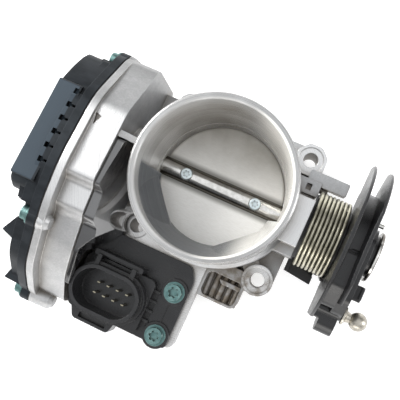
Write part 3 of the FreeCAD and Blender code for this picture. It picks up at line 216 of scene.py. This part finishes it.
def cast_aluminium():
    """Sand-blasted casting with machined bore, rim, lug tops and flange face."""
    material, tree, shader = start_material("cast aluminium")
    where = position(tree)
    x, y, z = axes_of(tree, where)
    reach = radius_about(tree, x, y)
    up = axes_of(tree, add(tree, "NewGeometry").outputs["Normal"])[2]

    in_bore = span(tree, reach, BORE_WALL_R, BORE_WALL_R + 0.3 * MM, 1.0, 0.0)
    on_spigot = both(tree, span(tree, z, SPIGOT_START_Z, SPIGOT_START_Z + 0.4 * MM),
                     span(tree, reach, SPIGOT_WALL_R, SPIGOT_WALL_R + 0.3 * MM, 1.0, 0.0))
    on_high_face = span(tree, z, CASING_TOP_Z, CASING_TOP_Z + 0.15 * MM)
    on_lug_face = both(tree, span(tree, z, LUG_TOP_Z, LUG_TOP_Z + 0.1 * MM),
                       span(tree, z, LUG_TOP_Z + 0.8 * MM, LUG_TOP_Z + 0.7 * MM))
    on_faces = both(tree, span(tree, up, 0.93, 0.985), calc(tree, "MAXIMUM", on_high_face, on_lug_face))
    on_flange = span(tree, z, 0.2 * MM, 0.1 * MM)
    machined = calc(tree, "MAXIMUM", in_bore, on_spigot)
    for mask in (on_faces, on_flange):
        machined = calc(tree, "MAXIMUM", machined, mask)

    grain = noise(tree, where, 0.35 * MM, detail=5.0, roughness=0.65)
    flow = noise(tree, where, 4 * MM, detail=4.0)
    blotch = noise(tree, where, 22 * MM, detail=2.0)
    marks = rings(tree, calc(tree, "ADD", z, reach), 0.28 * MM)

    speckle = noise(tree, where, 0.8 * MM, detail=4.0, roughness=0.7)
    cast = blend_colour(tree, span(tree, flow, 0.3, 0.75), rgb(0.455, 0.458, 0.462),
                        rgb(0.53, 0.532, 0.535))
    cast = blend_colour(tree, span(tree, speckle, 0.38, 0.66, 0.35, 0.0), cast, rgb(0.30, 0.302, 0.305))
    bright = blend_colour(tree, span(tree, marks, 0.3, 0.7), rgb(0.54, 0.54, 0.54),
                          rgb(0.72, 0.718, 0.712))
    colour = blend_colour(tree, machined, cast, bright)
    colour = blend_colour(tree, calc(tree, "MULTIPLY", span(tree, blotch, 0.45, 0.75), 0.12), colour,
                          rgb(0.56, 0.54, 0.50))
    # Painted shade darkens the far casing end; the spigot outside is also darkened in blotchy patches
    far_end = both(tree, span(tree, y, 26 * MM, 44 * MM), span(tree, x, -30 * MM, -34 * MM))
    shaded_end_and_dark_spigot = calc(tree, "MAXIMUM", both(tree, on_spigot, span(tree, blotch, 0.3, 0.7, 0.5, 0.8)), far_end)
    colour = blend_colour(tree, calc(tree, "MULTIPLY", shaded_end_and_dark_spigot, 0.75), colour, rgb(0.20, 0.198, 0.195))
    # Painted light: the bore wall on the quadrant side is painted pale cream where light falls on it
    painted_lit_bore_wall = both(tree, in_bore, span(tree, x, 2 * MM, 16 * MM))
    colour = blend_colour(tree, painted_lit_bore_wall, colour, rgb(0.95, 0.93, 0.88))
    # Painted shade: the casing side of the bore is painted brown
    brown_bore_shade = bore_painted_shade(tree, x, y, z, in_bore, blotch)
    colour = blend_colour(tree, brown_bore_shade, colour, rgb(0.20, 0.18, 0.155))
    colour = blend_colour(tree, bore_shadow(tree, x, y, z, in_bore), colour, rgb(0.06, 0.068, 0.08))
    # Painted shade: crevices and hollows of the casting are painted warm brown
    brown_crevice_shade = both(tree, crevices(tree, 8 * MM), span(tree, speckle, 0.3, 0.7, 0.55, 0.85))
    colour = blend_colour(tree, brown_crevice_shade, colour, rgb(0.17, 0.14, 0.105))
    # Darkens the low front corner below the coils towards brown
    colour = blend_colour(tree, low_corner_darkening(tree, x, y, z, flow), colour, rgb(0.15, 0.12, 0.085))
    worn = edge_mask(tree, 0.5 * MM)
    colour = blend_colour(tree, calc(tree, "MULTIPLY", worn, 0.25), colour, rgb(0.86, 0.855, 0.84))

    rough_cast = span(tree, grain, 0.3, 0.7, 0.38, 0.54, smooth=False)
    rough_cut = span(tree, marks, 0.3, 0.7, 0.22, 0.36, smooth=False)
    roughness = blend_value(tree, machined, rough_cast, rough_cut)
    height = blend_value(tree, machined, grain, calc(tree, "MULTIPLY", marks, 0.35))
    height = calc(tree, "ADD", height, calc(tree, "MULTIPLY", flow, 0.45))
    normal = bumps(tree, height, 0.28, 0.22 * MM, soft_edges(tree, 0.55 * MM))
    feed(tree, shader.inputs["Base Color"], colour)
    feed(tree, shader.inputs["Roughness"], roughness)
    feed(tree, shader.inputs["Normal"], normal)
    feed(tree, shader.inputs["Metallic"], blend_value(tree, in_bore, 0.95, 0.15))
    return material


def bore_painted_shade(tree, x, y, z, in_bore, blotch):
    """Brown painted shade on the casing side of the bore, stronger towards +Y and in patches, clear again
    near the inlet.
    """
    side = span(tree, x, 14 * MM, -6 * MM)
    height = span(tree, z, INLET_Z, 60 * MM)
    patches = span(tree, blotch, 0.3, 0.7, 0.55, 0.9)
    return both(tree, in_bore, side, span(tree, y, -8 * MM, 22 * MM, 0.1, 1.0), height, patches)


def bore_shadow(tree, x, y, z, in_bore):
    """Painted shadow on the crescent beside the plate, lighter towards the quadrant side."""
    low_z, high_z = CRESCENT_Z
    side = span(tree, x, 24 * MM, 12 * MM, 0.15, 0.9)
    return both(tree, in_bore, span(tree, y, -3 * MM, -6 * MM), span(tree, z, low_z, low_z + 1 * MM),
                span(tree, z, high_z, high_z - 4 * MM), side)


def low_corner_darkening(tree, x, y, z, flow):
    """Brown darkening of the low front corner below the coils, broken up by the flow of the casting."""
    corner = both(tree, span(tree, x, 6 * MM, 14 * MM), span(tree, y, -24 * MM, -32 * MM))
    low = span(tree, z, 30 * MM, 18 * MM, 0.35, 1.0)
    return both(tree, corner, low, span(tree, flow, 0.35, 0.65, 0.25, 0.85))


def uneven_roughness(tree, fine, coarse, middle):
    """Roughness that wanders a little about its middle value with two noises."""
    together = calc(tree, "ADD", fine, coarse)
    return span(tree, together, 0.7, 1.3, middle - 0.06, middle + 0.08, smooth=False)


def moulded_plastic(name, dark, light, roughness, edge=0.35):
    """Filled moulding plastic: fine spark texture, paler rubbed edges, and dark grey-brown corners that are
    dust on the black mouldings and painted crevice shade on the pale nylon.
    """
    material, tree, shader = start_material(name)
    where = position(tree)
    grain = noise(tree, where, 0.3 * MM, detail=4.0, roughness=0.6)
    flow = noise(tree, stretched(tree, where, (1.0, 2.2, 1.0)), 11 * MM, detail=3.0)
    colour = blend_colour(tree, span(tree, flow, 0.3, 0.7), rgb(*dark), rgb(*light))
    worn = edge_mask(tree, 0.4 * MM)
    colour = blend_colour(tree, calc(tree, "MULTIPLY", worn, edge), colour, rgb(*[2.4 * c for c in light]))
    # Corners are tinted dark grey-brown: dust on black mouldings, painted crevice shade on pale ones
    dust_and_crevice_shade = both(tree, crevices(tree, 3 * MM), span(tree, grain, 0.3, 0.7, 0.3, 1.0))
    colour = blend_colour(tree, calc(tree, "MULTIPLY", dust_and_crevice_shade, 0.25), colour, rgb(0.055, 0.05, 0.044))
    rough = uneven_roughness(tree, grain, flow, roughness)
    normal = bumps(tree, grain, 0.25, 0.08 * MM, soft_edges(tree, 0.45 * MM))
    feed(tree, shader.inputs["Base Color"], colour)
    feed(tree, shader.inputs["Roughness"], rough)
    feed(tree, shader.inputs["Normal"], normal)
    return material


def cover_plastic():
    """Cover moulding with a painted bluish-grey sheen on the upward faces of its flat upper strip, paler
    than the ribs beside it.
    """
    material = moulded_plastic("cover plastic", (0.012, 0.0135, 0.0155), (0.022, 0.0245, 0.028), 0.42)
    tree = material.node_tree
    x, y, z = axes_of(tree, position(tree))
    up = axes_of(tree, add(tree, "NewGeometry").outputs["Normal"])[2]
    low_y, high_y = STRIP_Y
    painted_strip_sheen = both(tree, span(tree, x, STRIP_X, STRIP_X - 0.3 * MM), span(tree, z, 50 * MM, 54 * MM),
                 span(tree, y, high_y, high_y - 0.4 * MM), span(tree, y, low_y, low_y + 0.4 * MM),
                 span(tree, up, 0.6, 0.8))
    # Painted sheen: the upward faces of the strip are painted bluish grey
    paint_over(material, painted_strip_sheen, rgb(0.045, 0.058, 0.072))
    shader = shader_of(material)
    shader.inputs["Specular IOR Level"].default_value = 0.15
    shader.inputs["Specular Tint"].default_value = rgb(0.82, 0.92, 1.0)
    return material


def glossy_black():
    """Clear-coated black panel with a slightly wavy moulded surface."""
    material, tree, shader = start_material("glossy black panel")
    where = position(tree)
    waves = noise(tree, where, 14 * MM, detail=1.5)
    smear = noise(tree, stretched(tree, where, (1.0, 1.0, 3.0)), 5 * MM, detail=4.0)
    colour = blend_colour(tree, span(tree, smear, 0.4, 0.7), rgb(0.012, 0.012, 0.013),
                          rgb(0.022, 0.021, 0.021))
    feed(tree, shader.inputs["Base Color"], colour)
    feed(tree, shader.inputs["Roughness"], span(tree, smear, 0.35, 0.7, 0.06, 0.16, smooth=False))
    feed(tree, shader.inputs["Normal"], bumps(tree, waves, 0.3, 0.5 * MM, soft_edges(tree, 0.6 * MM)))
    shader.inputs["IOR"].default_value = 1.9
    shader.inputs["Coat Weight"].default_value = 1.0
    shader.inputs["Coat IOR"].default_value = 1.8
    shader.inputs["Coat Roughness"].default_value = 0.04
    return material


def black_rubber():
    """Black rubber with a faint pale bloom."""
    material, tree, shader = start_material("black rubber")
    where = position(tree)
    grain = noise(tree, where, 0.5 * MM, detail=3.0)
    bloom = noise(tree, where, 4 * MM, detail=3.0)
    feed(tree, shader.inputs["Base Color"], blend_colour(
        tree, span(tree, bloom, 0.35, 0.75), rgb(0.014, 0.014, 0.014), rgb(0.04, 0.038, 0.036)))
    feed(tree, shader.inputs["Roughness"], span(tree, grain, 0.3, 0.7, 0.6, 0.8, smooth=False))
    feed(tree, shader.inputs["Normal"], bumps(tree, grain, 0.3, 0.1 * MM, soft_edges(tree, 0.25 * MM)))
    return material


def plated_steel(name, dark, light, roughness, mark_size, streaks=(1.0, 1.0, 1.0), edge_colour=None,
                 crevice_shade_amount=0.5):
    """Plated or ground steel: uneven plating tone, directional marks, rubbed edges."""
    material, tree, shader = start_material(name)
    where = position(tree)
    marks = noise(tree, stretched(tree, where, streaks), mark_size, detail=4.0, roughness=0.65)
    tone = noise(tree, where, 3.5 * MM, detail=3.0)
    colour = blend_colour(tree, span(tree, tone, 0.3, 0.7), rgb(*dark), rgb(*light))
    # Painted shade: crevices and gaps between parts are painted dark brown
    steel_crevice_shade = calc(tree, "MULTIPLY", crevices(tree, 1.6 * MM), crevice_shade_amount)
    colour = blend_colour(tree, steel_crevice_shade, colour, rgb(0.07, 0.062, 0.05))
    if edge_colour:
        worn = calc(tree, "MULTIPLY", edge_mask(tree, 0.2 * MM), 0.6)
        colour = blend_colour(tree, worn, colour, rgb(*edge_colour))
    feed(tree, shader.inputs["Base Color"], colour)
    feed(tree, shader.inputs["Roughness"], uneven_roughness(tree, marks, tone, roughness))
    feed(tree, shader.inputs["Normal"], bumps(tree, marks, 0.2, 0.06 * MM, soft_edges(tree, 0.25 * MM)))
    shader.inputs["Metallic"].default_value = 0.95
    return material


def turned_plate():
    """Pale turned plate with painted brown shade towards one edge, painted dark reflection and shadow of
    the shaft beside it, and a painted shade line at its rim.
    """
    material, tree, shader = start_material("throttle plate")
    where = position(tree)
    x, y, _ = axes_of(tree, where)
    reach = radius_about(tree, x, y)
    fine = noise(tree, stretched(tree, where, (1.0, 9.0, 1.0)), 2.4 * MM, detail=5.0, roughness=0.7)
    turning = rings(tree, reach, 0.25 * MM)
    plate_shade_noise = noise(tree, where, 9 * MM, detail=4.0)
    distance = calc(tree, "ABSOLUTE", y)
    colour = blend_colour(tree, span(tree, fine, 0.35, 0.65), rgb(0.90, 0.885, 0.85), rgb(0.98, 0.97, 0.94))
    # Painted shade: the plate darkens to brown towards its +Y edge, broken up by noise
    shade = both(tree, span(tree, y, 4 * MM, PLATE_R * 0.9, 0.25, 0.85), span(tree, y, 0, 1 * MM),
                 span(tree, plate_shade_noise, 0.2, 0.8, 0.75, 1.0))
    colour = blend_colour(tree, shade, colour, rgb(0.29, 0.265, 0.22))
    # Painted reflection and shadow of the shaft: dark bands along both sides of it
    painted_shaft_reflection = both(tree, span(tree, distance, SHAFT_EDGE_Y, SHAFT_EDGE_Y + 0.8 * MM),
                span(tree, distance, SHAFT_EDGE_Y + 3.9 * MM, SHAFT_EDGE_Y + 1.2 * MM))
    colour = blend_colour(tree, calc(tree, "MULTIPLY", painted_shaft_reflection, 0.75), colour, rgb(0.10, 0.095, 0.075))
    # Painted shade: a darker brown line round the plate's rim
    edge = span(tree, reach, PLATE_R - 1.6 * MM, PLATE_R - 0.3 * MM)
    colour = blend_colour(tree, calc(tree, "MULTIPLY", edge, 0.6), colour, rgb(0.30, 0.28, 0.245))
    feed(tree, shader.inputs["Base Color"], colour)
    feed(tree, shader.inputs["Roughness"], span(tree, fine, 0.3, 0.7, 0.34, 0.46, smooth=False))
    height = calc(tree, "ADD", calc(tree, "MULTIPLY", turning, 0.6), fine)
    feed(tree, shader.inputs["Normal"], bumps(tree, height, 0.12, 0.08 * MM, soft_edges(tree, 0.3 * MM)))
    shader.inputs["Metallic"].default_value = 0.1
    return material


def ground_shaft():
    """Ground steel shaft with painted dark reflections on its flanks, its crown left bright."""
    material = plated_steel("ground steel", (0.56, 0.55, 0.52), (0.72, 0.71, 0.68), 0.14, 0.5 * MM,
                            (0.15, 1.0, 1.0), crevice_shade_amount=0.35)
    tree = material.node_tree
    up = axes_of(tree, add(tree, "TexCoord").outputs["Normal"])[2]
    # Painted reflection: the shaft's flanks are painted dark
    painted_flank_reflection = both(tree, span(tree, up, 0.86, 0.70), span(tree, up, -0.2, 0.0))
    paint_over(material, calc(tree, "MULTIPLY", painted_flank_reflection, 0.9), rgb(0.09, 0.08, 0.065))
    return material


def circuit_board():
    """Green lacquered board with a faint glass weave."""
    material, tree, shader = start_material("circuit board")
    where = position(tree)
    _, y, z = axes_of(tree, where)
    threads = [calc(tree, "SINE", calc(tree, "MULTIPLY", along, WEAVE_PER_M)) for along in (y, z)]
    weave = calc(tree, "MULTIPLY", *threads)
    cloud = noise(tree, where, 6 * MM, detail=3.0)
    feed(tree, shader.inputs["Base Color"], blend_colour(
        tree, span(tree, cloud, 0.3, 0.7), rgb(0.01, 0.10, 0.05), rgb(0.02, 0.17, 0.08)))
    feed(tree, shader.inputs["Normal"], bumps(tree, weave, 0.15, 0.03 * MM, soft_edges(tree, 0.2 * MM)))
    shader.inputs["Roughness"].default_value = 0.3
    return material


def make_materials():
    """One material for each slot that the row's nodes use."""
    black = dict(dark=(0.005, 0.005, 0.006), light=(0.011, 0.011, 0.012))
    plastics = {
        "connector_plastic": moulded_plastic("connector plastic", roughness=0.28, **black),
        "guide_plastic": moulded_plastic("guide plastic", roughness=0.45, **black),
        "quadrant_plastic": moulded_plastic("quadrant plastic", roughness=0.3, **black),
        "natural_nylon": moulded_plastic("natural nylon", (0.58, 0.54, 0.43), (0.70, 0.66, 0.55),
                                         roughness=0.42, edge=0.0),
    }
    metals = {
        "zinc_screws": plated_steel("zinc plated screws", (0.09, 0.17, 0.165), (0.17, 0.28, 0.27),
                                    0.36, 0.5 * MM, edge_colour=(0.40, 0.50, 0.48)),
        "bright_zinc": plated_steel("clear zinc screws", (0.52, 0.60, 0.62), (0.70, 0.77, 0.78),
                                    0.3, 0.5 * MM, edge_colour=(0.86, 0.90, 0.90), crevice_shade_amount=0.7),
        "tinned_pins": plated_steel("tinned pins", (0.30, 0.27, 0.20), (0.42, 0.39, 0.30),
                                    0.35, 0.6 * MM, streaks=(1.0, 1.0, 0.2)),
        "brass_bush": plated_steel("sintered brass", (0.42, 0.28, 0.12), (0.62, 0.44, 0.20),
                                   0.4, 0.4 * MM),
        "motor_can": plated_steel("zinc plated can", (0.42, 0.42, 0.41), (0.58, 0.58, 0.56),
                                  0.3, 0.8 * MM, streaks=(0.2, 1.0, 1.0)),
        "spring_zinc": plated_steel("yellow zinc wire", (0.42, 0.40, 0.31), (0.62, 0.59, 0.475),
                                    0.33, 0.5 * MM, streaks=(2.0, 0.6, 0.6), crevice_shade_amount=0.8),
        "nickel_steel": plated_steel("nickel plated stud", (0.33, 0.31, 0.27), (0.50, 0.47, 0.41),
                                     0.34, 0.6 * MM, edge_colour=(0.72, 0.68, 0.60)),
        "shaft_steel": ground_shaft(),
        "plate_alloy": turned_plate(),
        "cast_aluminium": cast_aluminium(),
    }
    others = {
        "cover_plastic": cover_plastic(),
        "gloss_black": glossy_black(),
        "black_rubber": black_rubber(),
        "board_green": circuit_board(),
    }
    return {**plastics, **metals, **others}


def dress_nodes():
    """Gives every CAD node the material of its slot."""
    materials = make_materials()
    slots = {part["node"]: part["material_slot"] for part in frame["record"]["subparts"]}
    for name, piece in frame["nodes"].items():
        piece.data.materials.clear()
        piece.data.materials.append(materials[slots[name]])


# ---------------------------------------------------------------- studio

def make_floor():
    bpy.ops.mesh.primitive_plane_add(size=FLOOR_SIZE, location=(0, 0, CAD_BOX[0].z - FLOOR_GAP))
    floor = bpy.context.object
    floor.name = "studio_floor"
    material, _, shader = start_material("studio floor")
    shader.inputs["Base Color"].default_value = rgb(0.93, 0.93, 0.93)
    shader.inputs["Roughness"].default_value = 0.9
    shader.inputs["Emission Color"].default_value = rgb(1.0, 1.0, 1.0)
    shader.inputs["Emission Strength"].default_value = FLOOR_GLOW
    floor.data.materials.append(material)


def area_light(name, place, aim, size, power, tint=(1.0, 1.0, 1.0)):
    data = bpy.data.lights.new(name, "AREA")
    data.shape = "RECTANGLE"
    data.size, data.size_y = size
    data.energy = power
    data.color = tint
    light = bpy.data.objects.new(name, data)
    light.location = place
    light.rotation_euler = (Vector(aim) - Vector(place)).to_track_quat("-Z", "Y").to_euler()
    bpy.context.scene.collection.objects.link(light)


def make_studio():
    make_floor()
    world = bpy.data.worlds.new("studio")
    bpy.context.scene.world = world
    world.use_nodes = True
    background = next(n for n in world.node_tree.nodes if n.type == "BACKGROUND")
    tree = world.node_tree
    height = axes_of(tree, add(tree, "TexCoord").outputs["Generated"])[2]
    # Pale at the horizon, a dark band above it and brightest overhead
    glow = blend_colour(tree, span(tree, height, 0.45, 0.95), rgb(0.10, 0.10, 0.105), rgb(1.15, 1.17, 1.20))
    glow = blend_colour(tree, span(tree, height, 0.30, 0.42), rgb(0.90, 0.90, 0.90), glow)
    feed(tree, background.inputs["Color"], glow)
    background.inputs["Strength"].default_value = WORLD_STRENGTH
    centre = (0.0, 0.0, 0.03)
    area_light("left_box", (-0.74, 0.24, 0.58), centre, (0.45, 0.6), LEFT_POWER, (1.0, 0.995, 0.98))
    area_light("front_box", (0.15, -0.80, 0.35), centre, (0.8, 0.3), FRONT_POWER, (1.0, 0.98, 0.95))
    area_light("right_box", (0.75, 0.15, 0.35), centre, (0.3, 0.5), RIGHT_POWER)


def make_camera():
    data = bpy.data.cameras.new("camera")
    data.lens = 57.6
    data.sensor_width = 36.0
    data.clip_start = 0.01
    camera = bpy.data.objects.new("camera", data)
    camera.location = (0.0353, -0.0225, 0.3245)
    camera.rotation_euler = (math.radians(5.94), math.radians(6.34), math.radians(24.64))
    bpy.context.scene.collection.objects.link(camera)
    bpy.context.scene.camera = camera


dress_nodes()
make_studio()
make_camera()
bpy.context.scene.view_settings.view_transform = "Standard"
